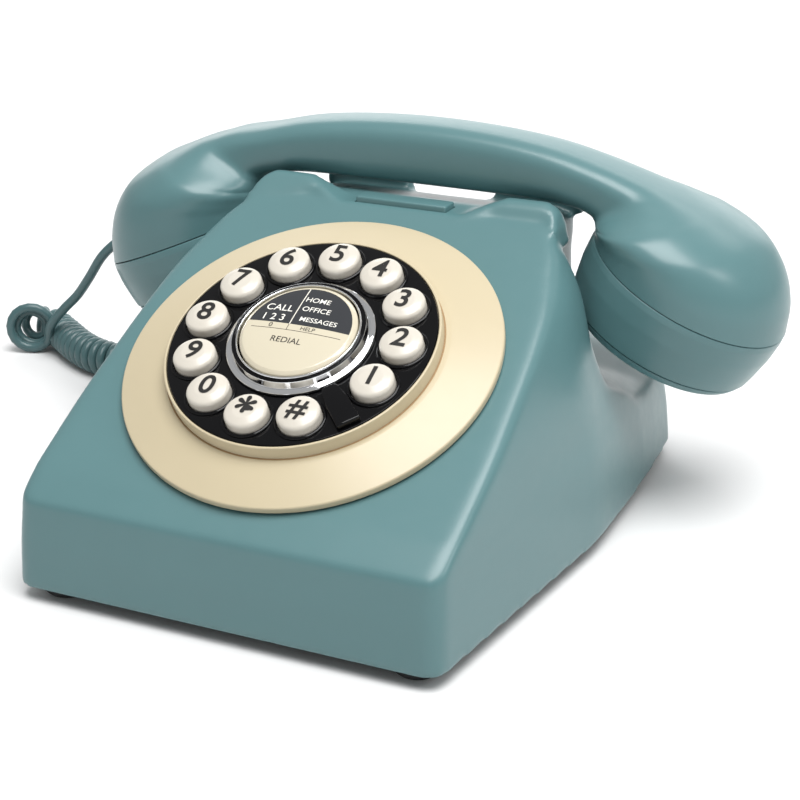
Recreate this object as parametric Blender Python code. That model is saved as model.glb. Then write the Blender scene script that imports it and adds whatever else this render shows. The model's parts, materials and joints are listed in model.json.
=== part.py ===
"""Desk telephone with a round push-button dial, lying handset and curly cord.

Metres, +Z up.  The front faces -Y, the origin is on the table under the middle of the phone,
and the feet stand at z = 0.
"""
import math

import bmesh
import bpy
from mathutils import Matrix, Vector

MM = 0.001
GAP = 0.3                     # clearance left between touching pieces

# case, in millimetres
FOOT_HEIGHT = 4.0
WALL = 2.6
SLOPE_DEG = 27.7              # tilt of the dial face
CREST_Z = 95.0                # top of the saddle that carries the handset
SHELL_TOP_DROP = 2.9          # how far the inside of the slope lies below the outside
SHELF_SINK = 2.0              # how much lower the rear wall is read, to keep its thickness under the shelf

# dial, in millimetres; heights are measured along the dial's own axis
DIAL_CENTRE = (0.0, -37.8, 65.1)
SURROUND_R = 57.5
SURROUND_SHIFT = 1.8          # how far up the slope the rim of the surround stands off centre
RING_R = 41.3
RING_TOP = 8.7
FACE_R = 40.2
FACE_THICK = 1.6
KEY_CIRCLE_R = 31.3
KEY_R = 6.4
KEY_HOLE_R = 6.8
KEY_FIRST_DEG = -24.2
KEY_STEP_DEG = 28.9
KEY_NAMES = ("1", "2", "3", "4", "5", "6", "7", "8", "9", "0", "star", "hash")
STOP_THICK = 1.8              # the fixed finger stop, a raised blade on the face
CHROME_R = 22.3
REDIAL_R = 17.6

DIAL_HOLE_R = 49.0            # opening in the case under the surround
KEYPAD_R = 38.5

# base and works, in millimetres
PLATE_Z = (4.3, 6.3)
BOARD_Z = 12.0
BOARD_BOSSES = ((-40, -6), (40, -6), (-40, 40), (40, 40))
FEET = {
    "foot_front_left": (-56.5, -85.0), "foot_front_right": (56.5, -85.0),
    "foot_rear_left": (-62.0, 84.0), "foot_rear_right": (62.0, 84.0),
}
HOOK_HALF = 15.6              # half width of the plunger bar in the saddle
HOOK_Y = (26.4, 33.6)
HOOK_TOP = 96.8
ROD_FOOT_Z = 29.5

# Openings in the rear wall: lowest and highest corner of each, as (x, z)
PORTS = {
    "handset_port": ((38.0, 8.0), (52.0, 19.0)),
    "line_port": ((-7.0, 8.0), (7.0, 19.0)),
    "ringer_switch": ((-56.0, 10.0), (-42.0, 16.0)),
}
PORT_RIM = 1.6
PORT_INNER_Y = 80.0
PORT_BACK_Y = 83.0
PORT_FACE_Y = 94.6

# handset, in millimetres
HANDSET_Y = 51.0
HANDSET_WALL = 2.4
CUP_R = 33.6
CAP_DEPTH = 5.0
CUPS = {                      # side, x and z of the seam under the grip, outward tilt in degrees, depth
    "ear": (1, 88.6, 75.6, 26.5, 19.2),
    "mouth": (-1, 86.6, 71.2, 23.0, 17.0),
}

# curly cord, in millimetres
CORD_D = 3.6
COIL_D = 14.2
GLAND_R = 3.2
GLAND_AT = Vector((-112.2, 69.5, 68.5))
GLAND_DIR = Vector((-0.76, 0.57, -0.3)).normalized()
UPPER_TAIL = (
    (-119.8, 75.2, 65.5), (-128.0, 77.0, 61.0), (-136.5, 75.0, 54.5), (-145.5, 74.5, 46.5),
    (-153.3, 75.5, 36.0), (-160.6, 77.5, 25.5), (-166.0, 80.0, 18.6),
)
COIL_AXIS = (
    (-190.0, 85.5, 7.4), (-181.0, 82.0, 7.4), (-169.7, 76.9, 7.4), (-158.2, 72.2, 7.4),
    (-145.4, 68.0, 7.4), (-131.0, 69.0, 7.4), (-114.0, 79.0, 7.4), (-98.0, 93.5, 7.4),
    (-80.0, 104.5, 7.4), (-55.0, 109.0, 7.4), (-20.0, 109.5, 7.4), (14.0, 109.5, 7.4),
)
LOWER_TAIL = (
    (14.4, 109.5, 3.6), (22.0, 110.5, 3.0), (30.0, 114.5, 3.4), (37.0, 119.0, 5.2),
    (43.0, 118.0, 9.0), (45.0, 111.5, 12.4), (45.0, 105.3, 13.5),
)
PLUG_LOW = (40.0, 84.0, 10.0)
PLUG_HIGH = (50.0, 105.0, 17.0)


def clear_scene():
    for obj in list(bpy.data.objects):
        bpy.data.objects.remove(obj, do_unlink=True)


def paint(name, colour, roughness, metallic=0.0):
    mat = bpy.data.materials.new(name)
    mat.use_nodes = True
    shader = mat.node_tree.nodes["Principled BSDF"]
    shader.inputs["Base Color"].default_value = (*colour, 1.0)
    shader.inputs["Roughness"].default_value = roughness
    shader.inputs["Metallic"].default_value = metallic
    return mat


COLOURS = {
    "teal": ((0.10, 0.25, 0.27), 0.30, 0.0),
    "cream": ((0.80, 0.70, 0.47), 0.35, 0.0),
    "ivory": ((0.86, 0.82, 0.73), 0.25, 0.0),
    "black": ((0.01, 0.01, 0.01), 0.12, 0.0),
    "rubber": ((0.02, 0.02, 0.02), 0.70, 0.0),
    "chrome": ((0.80, 0.80, 0.80), 0.08, 1.0),
    "steel": ((0.45, 0.45, 0.46), 0.35, 1.0),
    "board": ((0.03, 0.20, 0.08), 0.50, 0.0),
}


def finish(mesh, name, colour, parent=None, smooth_deg=35.0):
    """Make one object from a mesh given in millimetres, with its own material."""
    mesh.transform(Matrix.Scale(MM, 4))
    mesh.shade_smooth()
    mesh.set_sharp_from_angle(angle=math.radians(smooth_deg))
    obj = bpy.data.objects.new(name, mesh)
    bpy.context.collection.objects.link(obj)
    mesh.materials.append(paint(name, *COLOURS[colour]))
    obj.parent = parent
    return obj


def mesh_from_bmesh(bm, name):
    bmesh.ops.recalc_face_normals(bm, faces=bm.faces)
    mesh = bpy.data.meshes.new(name)
    bm.to_mesh(mesh)
    bm.free()
    return mesh


def loft(rings, name, closed_loop=False):
    """Join rings of points into one closed skin; the end rings are capped unless they join up."""
    bm = bmesh.new()
    rows = [[bm.verts.new(point) for point in ring] for ring in rings]
    pairs = list(zip(rows[:-1], rows[1:]))
    if closed_loop:
        pairs.append((rows[-1], rows[0]))
    else:
        bm.faces.new(rows[0][::-1])
        bm.faces.new(rows[-1])
    count = len(rings[0])
    for low, high in pairs:
        for i in range(count):
            j = (i + 1) % count
            bm.faces.new((low[i], low[j], high[j], high[i]))
    return mesh_from_bmesh(bm, name)


def turned(profile, segments, name):
    """Revolve (radius, height) points about Z; a profile off the axis closes on itself."""
    on_axis = profile[0][0] == 0.0
    points = profile[1:-1] if on_axis else profile
    angles = [2 * math.pi * i / segments for i in range(segments)]
    rings = [[(r * math.cos(a), r * math.sin(a), h) for a in angles] for r, h in points]
    return loft(rings, name, closed_loop=not on_axis)


def box_mesh(low, high, name, bevel=0.0):
    bm = bmesh.new()
    bmesh.ops.create_cube(bm, size=1.0)
    for vert in bm.verts:
        vert.co = Vector([(b + a) / 2 + c * (b - a) for a, b, c in zip(low, high, vert.co)])
    if bevel:
        bmesh.ops.bevel(bm, geom=bm.edges[:], offset=bevel, segments=2, affect="EDGES", profile=0.5)
    return mesh_from_bmesh(bm, name)


def prism(outline, low, high, name, axis="z"):
    """Extrude an outline of (a, b) points along one axis."""
    place = {
        "z": lambda a, b, h: (a, b, h),
        "y": lambda a, b, h: (a, h, b),
    }[axis]
    return loft([[place(a, b, h) for a, b in outline] for h in (low, high)], name)


def cutter(mesh, name, parent=None, matrix=None):
    if matrix is not None:
        mesh.transform(matrix)
    mesh.transform(Matrix.Scale(MM, 4))
    obj = bpy.data.objects.new(name, mesh)
    bpy.context.collection.objects.link(obj)
    obj.parent = parent
    obj.hide_render = True
    obj.display_type = "WIRE"
    return obj


def boolean(obj, other, operation="DIFFERENCE"):
    mod = obj.modifiers.new(other.name, "BOOLEAN")
    mod.operation = operation
    mod.object = other
    mod.solver = "EXACT"


def rounded(corners, segments):
    """Round the inner corners of an open line of (x, y, radius) corners with arcs."""
    out = [corners[0][:2]]
    for before, here, after in zip(corners[:-2], corners[1:-1], corners[2:]):
        p, a, b = (Vector(here[:2]), Vector(before[:2]), Vector(after[:2]))
        u, v = (a - p), (b - p)
        turn = math.pi - u.angle(v)
        reach = min(here[2] * math.tan(turn / 2), 0.49 * u.length, 0.49 * v.length)
        start, end = p + u.normalized() * reach, p + v.normalized() * reach
        for i in range(segments + 1):
            t = i / segments
            point = (1 - t) ** 2 * start + 2 * t * (1 - t) * p + t ** 2 * end
            out.append((point.x, point.y))
    out.append(corners[-1][:2])
    return out


# Sections of the case.  Each row: height, then half widths and depths of the corners
# (front x, y), (flank x, y), (shoulder x, y), (waist x, y), (rear x, y), rear middle y.
CASE_SECTIONS = (
    (4.0, 67.2, -96.0, 78.4, 4.0, 76.8, 52.0, 75.8, 66.0, 73.5, 96.0, 96.0),
    (18.0, 66.9, -95.2, 77.6, 4.0, 76.2, 50.0, 75.0, 66.0, 72.3, 95.0, 95.0),
    (31.5, 66.5, -93.6, 76.0, 4.0, 74.8, 48.0, 73.0, 66.0, 69.5, 92.5, 92.5),
    (38.0, 67.0, -84.0, 74.6, 4.0, 73.8, 40.0, 64.0, 58.0, 62.0, 88.0, 84.0),
    (47.5, 67.1, -66.0, 73.0, 2.0, 71.0, 26.6, 49.5, 40.2, 48.0, 78.0, 66.0),
    (62.0, 65.8, -38.4, 69.5, 0.0, 66.8, 22.8, 47.0, 36.2, 45.5, 75.0, 56.0),
    (76.0, 63.2, -11.7, 65.5, 6.0, 63.0, 23.3, 46.0, 35.5, 45.0, 74.0, 58.0),
    (86.0, 58.0, 7.4, 59.4, 15.0, 57.8, 23.8, 45.5, 34.8, 44.5, 73.0, 71.0),
    (91.0, 54.0, 16.9, 54.8, 20.0, 53.4, 26.0, 45.0, 35.0, 43.0, 58.0, 58.0),
    (CREST_Z, 49.0, 24.6, 49.2, 27.0, 48.6, 29.0, 44.0, 33.0, 42.0, 38.0, 38.0),
)
CORNER_RADII = (6.5, 90.0, 9.0, 12.0, 12.0)


def case_outline(row, inset):
    height, fx, fy, mx, my, sx, sy, wx, wy, rx, ry, middle = row
    front = fy + (inset if height <= 32.0 else 0.0)
    corner_r = CORNER_RADII[0] if height <= 32.0 else 5.0
    corners = [
        (0.0, front, 0.0),
        (fx - inset, front, corner_r),
        (mx - inset, my, CORNER_RADII[1]),
        (sx - inset, sy - inset * 0.5, CORNER_RADII[2]),
        (wx - inset, wy - inset * 0.5, CORNER_RADII[3]),
        (rx - inset, ry - inset, CORNER_RADII[4]),
        (0.0, middle - inset, 0.0),
    ]
    half = rounded(corners, 3)
    left = [(-x, y) for x, y in reversed(half[1:-1])]
    return half + left


def rear_middle_at(height):
    """Depth of the rear wall in the middle, at a height between the rows of the table."""
    for low, high in zip(CASE_SECTIONS[:-1], CASE_SECTIONS[1:]):
        if height <= high[0]:
            share = (height - low[0]) / (high[0] - low[0])
            return low[-1] + share * (high[-1] - low[-1])


def case_loft(name):
    return loft([[(x, y, row[0]) for x, y in case_outline(row, 0.0)] for row in CASE_SECTIONS], name)


def hollow_loft(name):
    """The space inside the case; under the rear shelf the wall is kept by the depth at its own height."""
    first = CASE_SECTIONS[0]
    rings = [[(x, y, first[0] - 1.0) for x, y in case_outline(first, WALL)]]
    for row in CASE_SECTIONS[1:]:
        level = row[0] - SHELL_TOP_DROP
        middle = min(row[-1], rear_middle_at(level - SHELF_SINK))
        rings.append([(x, y, level) for x, y in case_outline((*row[:-1], middle), WALL)])
    return loft(rings, name)


# Outline of a right-hand horn as (x, z), and the lean of a front horn's face above the saddle.
HORN_OUTLINE = (
    (17.0, 88.0), (19.0, 94.2), (29.5, 98.6), (34.0, 100.2),
    (47.5, 100.5), (51.3, 98.3), (53.2, 94.0), (54.5, 87.5), (40.0, 86.0),
)
FRONT_HORN_BACK = 34.5
FRONT_HORN_FOOT_Z = 92.0
FRONT_HORN_LEAN = 1.25
REAR_HORNS = (66.8, 72.4, 0.86)     # low y, high y, and how much narrower they stand


def horn(side, face_y, back_y, name, spread=1.0):
    """One horn, with its front face at face_y(z) and a flat back."""
    outline = [(side * spread * x, z) for x, z in HORN_OUTLINE]
    rings = [[(x, face_y(z), z) for x, z in outline], [(x, back_y, z) for x, z in outline]]
    return loft(rings, name)


def front_horn_face(z):
    """The front horns carry the slope on upwards and lean back a little more steeply."""
    return 20.0 + max(0.0, z - FRONT_HORN_FOOT_Z) * FRONT_HORN_LEAN


def make_case(dial):
    shell = finish(case_loft("case_shell"), "case_shell", "teal")
    for side, tag in ((1, "right"), (-1, "left")):
        front = horn(side, front_horn_face, FRONT_HORN_BACK, "front_horn")
        boolean(shell, cutter(front, f"cut_front_horn_{tag}"), "UNION")
        low, high, spread = REAR_HORNS
        rear = horn(side, lambda z: low, high, "rear_horn", spread)
        boolean(shell, cutter(rear, f"cut_rear_horn_{tag}"), "UNION")
    boolean(shell, cutter(hollow_loft("hollow"), "cut_hollow"))
    bore = turned([(0, -30), (DIAL_HOLE_R, -30), (DIAL_HOLE_R, 20), (0, 20)], 40, "bore")
    boolean(shell, cutter(bore, "cut_dial_hole", dial))
    slot = box_mesh((-HOOK_HALF - GAP, HOOK_Y[0] - GAP, 80), (HOOK_HALF + GAP, HOOK_Y[1] + GAP, 110), "slot")
    boolean(shell, cutter(slot, "cut_hook_slot"))
    for name, (low, high) in PORTS.items():
        hole = box_mesh((low[0], 80, low[1]), (high[0], 120, high[1]), name)
        boolean(shell, cutter(hole, f"cut_{name}_hole"))


def make_base():
    """Floor plate with four bosses for the circuit board, and the feet it is screwed through."""
    rows = [[(x, y, h) for x, y in case_outline(CASE_SECTIONS[0], WALL + 0.6)] for h in PLATE_Z]
    plate = finish(loft(rows, "base_plate"), "base_plate", "rubber")
    for i, (x, y) in enumerate(BOARD_BOSSES):
        boss = turned([(0, PLATE_Z[1] - 1), (3, PLATE_Z[1] - 1), (3, BOARD_Z), (0, BOARD_Z)], 10, "boss")
        boolean(plate, cutter(boss, f"cut_boss_{i}", matrix=Matrix.Translation((x, y, 0))), "UNION")
    for name, (x, y) in FEET.items():
        profile = [(0, 0), (5.4, 0), (6.8, 1.2), (7.4, FOOT_HEIGHT - GAP), (0, FOOT_HEIGHT - GAP)]
        foot = finish(turned(profile, 20, name), name, "rubber")
        foot.location = Vector((x, y, 0)) * MM


def off_centre(mesh):
    """Shift a surround's rim up the slope, leaving its inner edge round the ring."""
    for vert in mesh.vertices:
        share = (vert.co.xy.length - RING_R - GAP) / (SURROUND_R - RING_R - GAP)
        vert.co.y += SURROUND_SHIFT * share
    return mesh


def make_dial(dial):
    """Everything on the dial's own axis, built about the dial centre with heights along +Z."""
    surround = [
        (RING_R + GAP, -2.0), (SURROUND_R - 0.4, -2.0), (SURROUND_R, -1.6), (SURROUND_R, -0.3),
        (SURROUND_R - 0.8, 0.3), (RING_R + GAP, 4.3),
    ]
    finish(off_centre(turned(surround, 64, "dial_surround")), "dial_surround", "cream", dial)
    ring = [
        (FACE_R - 1.2, -1.5), (RING_R, -1.5), (RING_R, RING_TOP - 0.4), (RING_R - 0.4, RING_TOP),
        (FACE_R + GAP, RING_TOP), (FACE_R + GAP, RING_TOP - FACE_THICK - GAP),
        (FACE_R - 1.2, RING_TOP - FACE_THICK - GAP),
    ]
    finish(turned(ring, 56, "dial_ring"), "dial_ring", "cream", dial)
    low = RING_TOP - FACE_THICK
    plate = [(REDIAL_R + GAP, low), (FACE_R, low), (FACE_R, RING_TOP), (REDIAL_R + GAP, RING_TOP)]
    face = finish(turned(plate, 48, "dial_face"), "dial_face", "black", dial)
    top = RING_TOP + GAP
    key = [
        (0, top - 5.2), (7.2, top - 5.2), (7.2, top - 3.6), (KEY_R, top - 3.4),
        (KEY_R, top + 1.8), (KEY_R - 0.8, top + 2.8), (KEY_R - 3.4, top + 3.6), (0, top + 3.9),
    ]
    for i, name in enumerate(KEY_NAMES):
        angle = math.radians(KEY_FIRST_DEG + i * KEY_STEP_DEG)
        place = Vector((KEY_CIRCLE_R * math.cos(angle), KEY_CIRCLE_R * math.sin(angle), 0))
        hole = turned([(0, 0), (KEY_HOLE_R, 0), (KEY_HOLE_R, 20), (0, 20)], 20, "hole")
        boolean(face, cutter(hole, f"cut_key_hole_{name}", dial, Matrix.Translation(place)))
        cap = finish(turned(key, 20, f"key_{name}"), f"key_{name}", "ivory", dial)
        cap.location = place * MM
    chrome = [
        (REDIAL_R + 0.5, top), (CHROME_R, top), (CHROME_R, top + 1.0),
        (CHROME_R - 3.2, top + 3.9), (REDIAL_R + 0.5, top + 3.9),
    ]
    finish(turned(chrome, 48, "chrome_ring"), "chrome_ring", "chrome", dial)
    redial = [
        (0, top - 4.0), (REDIAL_R - 0.2, top - 4.0), (REDIAL_R, top + 3.2),
        (REDIAL_R - 1.2, top + 4.2), (REDIAL_R * 0.5, top + 5.0), (0, top + 5.2),
    ]
    finish(turned(redial, 40, "redial_button"), "redial_button", "cream", dial)
    blade = rounded([(39.2, -3.6, 0), (30.0, -3.4, 6.0), (23.2, -2.4, 2.2), (23.2, 2.4, 2.2),
                     (30.0, 3.4, 6.0), (39.2, 3.6, 0)], 3)
    stop = finish(prism(blade, top, top + STOP_THICK, "finger_stop"), "finger_stop", "black", dial)
    stop.rotation_euler.z = math.radians(KEY_FIRST_DEG - (360 - 11 * KEY_STEP_DEG) / 2)
    layers = {"keypad_membrane": (0.4, 1.6, "rubber"), "keypad_board": (-1.5, 0.1, "board")}
    for name, (bottom, upper, colour) in layers.items():
        disc = [(0, bottom), (KEYPAD_R, bottom), (KEYPAD_R, upper), (0, upper)]
        finish(turned(disc, 32, name), name, colour, dial)
    tray = [
        (0, -5.0), (RING_R, -5.0), (RING_R, -1.8), (KEYPAD_R, -1.8), (KEYPAD_R, -3.0), (0, -3.0),
    ]
    finish(turned(tray, 40, "dial_tray"), "dial_tray", "rubber", dial)


def make_inside():
    """The works on the floor plate, the sockets in the rear wall and the ringer switch."""
    floor = PLATE_Z[1] + GAP
    blocks = {
        "main_board": ((-44, -10, BOARD_Z + GAP), (44, 44, BOARD_Z + 1.9), "board"),
        "ballast_weight": ((-40, -70, floor), (40, -24, floor + 5), "steel"),
        "hook_switch": ((-9, 24, BOARD_Z + 2.2), (9, 38, BOARD_Z + 14), "rubber"),
    }
    for name, (low, high, colour) in blocks.items():
        finish(box_mesh(low, high, name, 0.4), name, colour)
    speaker = [(0, 0), (17, 0), (17, 4), (13, 8), (0, 8)]
    ringer = finish(turned(speaker, 24, "ringer_speaker"), "ringer_speaker", "rubber")
    ringer.location = Vector((-38, 66, floor)) * MM
    for name, (low, high) in PORTS.items():
        if name == "ringer_switch":
            continue
        block = box_mesh((low[0] + GAP, PORT_INNER_Y, low[1] + GAP),
                         (high[0] - GAP, PORT_FACE_Y, high[1] - GAP), name)
        mouth = box_mesh((low[0] + PORT_RIM, PORT_BACK_Y, low[1] + PORT_RIM),
                         (high[0] - PORT_RIM, 120, high[1] - PORT_RIM), f"{name}_mouth")
        boolean(finish(block, name, "rubber"), cutter(mouth, f"cut_{name}_mouth"))
    low, high = PORTS["ringer_switch"]
    knob = box_mesh((low[0] + GAP, 88, low[1] + GAP), (high[0] - 4 - GAP, 97, high[1] - GAP), "knob", 0.5)
    finish(knob, "ringer_switch", "rubber")


def make_hook():
    """The plunger that the handset's grip presses, and the rod down to its switch."""
    bar = box_mesh((-HOOK_HALF, HOOK_Y[0], HOOK_TOP - 6), (HOOK_HALF, HOOK_Y[1], HOOK_TOP), "bar", 0.5)
    finish(bar, "hook_plunger", "teal")
    rod = [(0, 0), (2, 0), (2, HOOK_TOP - 6.3 - ROD_FOOT_Z), (0, HOOK_TOP - 6.3 - ROD_FOOT_Z)]
    stem = finish(turned(rod, 12, "hook_rod"), "hook_rod", "steel")
    stem.location = Vector((0, sum(HOOK_Y) / 2, ROD_FOOT_Z)) * MM


# The grip, from its middle outwards.  Each row: a point on the top line (x, z), the point on the
# underside line (x, z) that faces it, and the half depth between front and back.
GRIP_HANDLE = (
    (0.0, 117.8, 0.0, 97.3, 11.6),
    (22.0, 117.0, 22.0, 97.3, 11.7),
    (42.0, 114.7, 41.0, 97.1, 12.2),
    (58.0, 111.0, 52.0, 96.2, 12.8),
)
# The ends swing round their lower corner, out to the seam with each cup.
GRIP_ENDS = {
    "ear": (
        (70.0, 107.4, 56.8, 94.8, 13.6),
        (77.5, 104.9, 58.4, 93.6, 15.0),
        (83.0, 103.0, 59.0, 92.9, 19.0),
        (91.0, 99.7, 59.1, 92.4, 26.0),
        (98.5, 96.3, 59.0, 92.0, 30.2),
        (110.0, 89.0, 58.9, 91.5, 32.6),
        (116.8, 79.8, 58.7, 91.1, 33.3),
        (119.4, 70.0, 58.5, 90.9, 33.6),
        (118.7, 60.6, 58.5, 90.6, CUP_R),
    ),
    "mouth": (
        (70.0, 108.5, 56.8, 94.6, 13.6),
        (77.5, 106.0, 58.0, 92.8, 15.0),
        (83.0, 104.2, 58.4, 91.4, 19.0),
        (91.0, 100.8, 58.2, 89.8, 26.0),
        (98.0, 97.4, 57.8, 88.3, 30.2),
        (108.9, 89.3, 57.3, 86.7, 32.6),
        (115.3, 79.4, 56.7, 85.5, 33.3),
        (117.8, 68.6, 56.1, 84.8, 33.6),
        (117.5, 58.1, 55.7, 84.3, CUP_R),
    ),
}


def grip_ring(station, inset, count=20):
    """One closed section of the grip: nearly a rounded box at the handle, a circle at the cup."""
    top_x, top_z, low_x, low_z, half = station
    middle = Vector(((top_x + low_x) / 2, HANDSET_Y, (top_z + low_z) / 2))
    up = Vector((top_x - low_x, 0, top_z - low_z)) / 2
    up *= 1 - inset / up.length
    across = Vector((0, half - inset, 0))
    power = 0.62 if half < 15 else min(1.0, 0.62 + (half - 15) * 0.03)
    ring = []
    for i in range(count):
        a = 2 * math.pi * i / count
        c, s = math.cos(a), math.sin(a)
        c = math.copysign(abs(c) ** power, c)
        s = math.copysign(abs(s) ** power, s)
        ring.append(middle + up * c + across * s)
    return ring


def mirror_x(ring):
    return [Vector((-p.x, p.y, p.z)) for p in ring]


def grip_loft(name):
    """The hollow grip, open at both cups."""
    skins = []
    for inset in (0.0, HANDSET_WALL):
        right = [grip_ring(row, inset) for row in GRIP_HANDLE + GRIP_ENDS["ear"]]
        left = [grip_ring(row, inset) for row in GRIP_HANDLE[1:] + GRIP_ENDS["mouth"]]
        skins.append([mirror_x(ring) for ring in reversed(left)] + right)
    return loft(skins[0] + skins[1][::-1], name, closed_loop=True)


def cup_frame(end):
    """An empty at the seam of one cup, with its Z axis up out of the cup."""
    side, x, z, tilt_deg, _ = CUPS[end]
    frame = bpy.data.objects.new(f"{end}_frame", None)
    bpy.context.collection.objects.link(frame)
    frame.location = Vector((side * x, HANDSET_Y, z)) * MM
    frame.rotation_euler.y = math.radians(side * tilt_deg)
    return frame


def make_handset():
    shell = finish(grip_loft("handset_shell"), "handset_shell", "teal")
    slot = box_mesh((-46, HANDSET_Y - 7.5, 90), (46, HANDSET_Y + 7.5, 103), "slot")
    boolean(shell, cutter(slot, "cut_cover_slot"))
    cover = finish(grip_loft("handset_cover"), "handset_cover", "teal")
    lid = box_mesh((-45.7, HANDSET_Y - 7.2, 90), (45.7, HANDSET_Y + 7.2, 103), "lid")
    boolean(cover, cutter(lid, "cut_cover_lid"), "INTERSECT")
    weight = box_mesh((-30, HANDSET_Y - 5, 103.5), (30, HANDSET_Y + 5, 109.5), "weight", 0.5)
    finish(weight, "handset_weight", "steel")
    capsules = {"ear": ("receiver_capsule", 21.0, 9.0), "mouth": ("microphone_capsule", 10.0, 7.0)}
    for end, (name, radius, height) in capsules.items():
        frame = cup_frame(end)
        depth = CUPS[end][-1]
        cup = [
            (28.4, -depth), (31.5, -depth), (32.3, -depth * 0.8), (33.5, -depth * 0.45),
            (CUP_R + 0.2, -2.5), (CUP_R, -GAP), (CUP_R - HANDSET_WALL, -GAP), (30.8, -depth * 0.5),
        ]
        finish(turned(cup, 40, f"{end}_cup"), f"{end}_cup", "teal", frame)
        low = -depth - CAP_DEPTH
        cap = [
            (0, low + 1.2), (17, low + 0.9), (20, low), (25.5, low + 0.3), (29.8, low + 2.2),
            (31.2, -depth - GAP), (0, -depth - GAP),
        ]
        lid = finish(turned(cap, 32, f"{end}_cap"), f"{end}_cap", "teal", frame)
        for i in range(6):
            angle = math.radians(60 * i)
            hole = turned([(0, low - 5), (1.6, low - 5), (1.6, 0), (0, 0)], 8, "hole")
            place = Matrix.Translation((11 * math.cos(angle), 11 * math.sin(angle), 0))
            boolean(lid, cutter(hole, f"cut_{end}_hole_{i}", frame, place))
        floor = -depth + GAP
        drum = [(0, floor), (radius, floor), (radius, floor + height), (0, floor + height)]
        finish(turned(drum, 28, name), name, "rubber", frame)


def smooth_route(points, steps):
    """A Catmull-Rom curve through hand-placed points, from the first to the last."""
    pts = [Vector(p) for p in points]
    pts = [2 * pts[0] - pts[1]] + pts + [2 * pts[-1] - pts[-2]]
    out = []
    for p0, p1, p2, p3 in zip(pts[:-3], pts[1:-2], pts[2:-1], pts[3:]):
        for k in range(steps):
            t = k / steps
            out.append(0.5 * (2 * p1 + (p2 - p0) * t + (2 * p0 - 5 * p1 + 4 * p2 - p3) * t ** 2
                              + (3 * p1 - p0 - 3 * p2 + p3) * t ** 3))
    out.append(pts[-2])
    return out


def tube(name, points, diameter, resolution, colour, steps):
    curve = bpy.data.curves.new(name, "CURVE")
    curve.dimensions = "3D"
    curve.bevel_depth = diameter / 2 * MM
    curve.bevel_resolution = resolution
    curve.use_fill_caps = True
    route = smooth_route(points, steps)
    spline = curve.splines.new("POLY")
    spline.points.add(len(route) - 1)
    for point, co in zip(spline.points, route):
        point.co = (*(co * MM), 1.0)
    curve.materials.append(paint(name, *COLOURS[colour]))
    obj = bpy.data.objects.new(name, curve)
    bpy.context.collection.objects.link(obj)


def make_cord():
    """Curly handset cord: a tail from the left cup, the coil behind the case, a tail to the plug."""
    bore = turned([(0, -12), (GLAND_R + GAP, -12), (GLAND_R + GAP, 12), (0, 12)], 14, "bore")
    matrix = Matrix.Translation(GLAND_AT) @ GLAND_DIR.to_track_quat("Z", "Y").to_matrix().to_4x4()
    shell = bpy.data.objects["handset_shell"]
    boolean(shell, cutter(bore, "cut_gland_bore", matrix=matrix))
    relief = turned([(0, -4), (GLAND_R, -4), (GLAND_R, 1), (2.4, 9), (0, 9)], 14, "cord_gland")
    relief.transform(matrix)
    finish(relief, "cord_gland", "rubber")
    tube("cord_upper_tail", UPPER_TAIL, CORD_D, 2, "teal", 3)
    tube("cord_coil", COIL_AXIS, COIL_D, 3, "teal", 2)
    tube("cord_lower_tail", LOWER_TAIL, CORD_D, 2, "teal", 3)
    plug = box_mesh(PLUG_LOW, PLUG_HIGH, "cord_plug", 0.5)
    finish(plug, "cord_plug", "rubber")


def main():
    clear_scene()
    dial = bpy.data.objects.new("dial_frame", None)
    bpy.context.collection.objects.link(dial)
    dial.location = Vector(DIAL_CENTRE) * MM
    dial.rotation_euler.x = math.radians(SLOPE_DEG)
    make_case(dial)
    make_base()
    make_dial(dial)
    make_inside()
    make_hook()
    make_handset()
    make_cord()


main()
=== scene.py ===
"""Looks of a desk telephone with a ring of push keys: smooth skins, prints, chrome and curly cord.

Lengths below are in millimetres in the CAD frame, and are scaled to metres when a mesh is made.
"""
import json
import math

import bmesh
import bpy
import numpy as np
from mathutils import Matrix, Vector

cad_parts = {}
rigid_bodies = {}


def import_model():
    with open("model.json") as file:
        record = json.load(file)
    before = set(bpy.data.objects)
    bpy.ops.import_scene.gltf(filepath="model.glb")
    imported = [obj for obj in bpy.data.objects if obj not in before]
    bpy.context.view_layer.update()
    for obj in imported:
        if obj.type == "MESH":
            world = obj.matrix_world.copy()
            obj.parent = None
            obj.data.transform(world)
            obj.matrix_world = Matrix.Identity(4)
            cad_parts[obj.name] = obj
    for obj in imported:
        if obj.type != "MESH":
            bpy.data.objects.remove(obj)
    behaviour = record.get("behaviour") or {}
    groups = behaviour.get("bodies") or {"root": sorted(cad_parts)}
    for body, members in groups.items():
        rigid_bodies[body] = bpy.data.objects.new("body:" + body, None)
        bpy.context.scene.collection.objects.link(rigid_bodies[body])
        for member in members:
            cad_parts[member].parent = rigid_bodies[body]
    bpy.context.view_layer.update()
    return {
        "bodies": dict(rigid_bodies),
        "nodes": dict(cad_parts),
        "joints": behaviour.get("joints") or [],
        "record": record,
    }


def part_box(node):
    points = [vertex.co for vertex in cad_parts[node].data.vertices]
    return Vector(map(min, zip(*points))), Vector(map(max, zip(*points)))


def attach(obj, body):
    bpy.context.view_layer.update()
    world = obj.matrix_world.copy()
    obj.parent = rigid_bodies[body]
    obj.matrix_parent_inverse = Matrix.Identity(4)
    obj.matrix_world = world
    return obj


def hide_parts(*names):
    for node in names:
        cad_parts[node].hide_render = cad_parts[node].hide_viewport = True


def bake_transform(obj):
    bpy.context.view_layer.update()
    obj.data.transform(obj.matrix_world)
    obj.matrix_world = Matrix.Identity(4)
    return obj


MM = 0.001
GAP = 0.3

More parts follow.
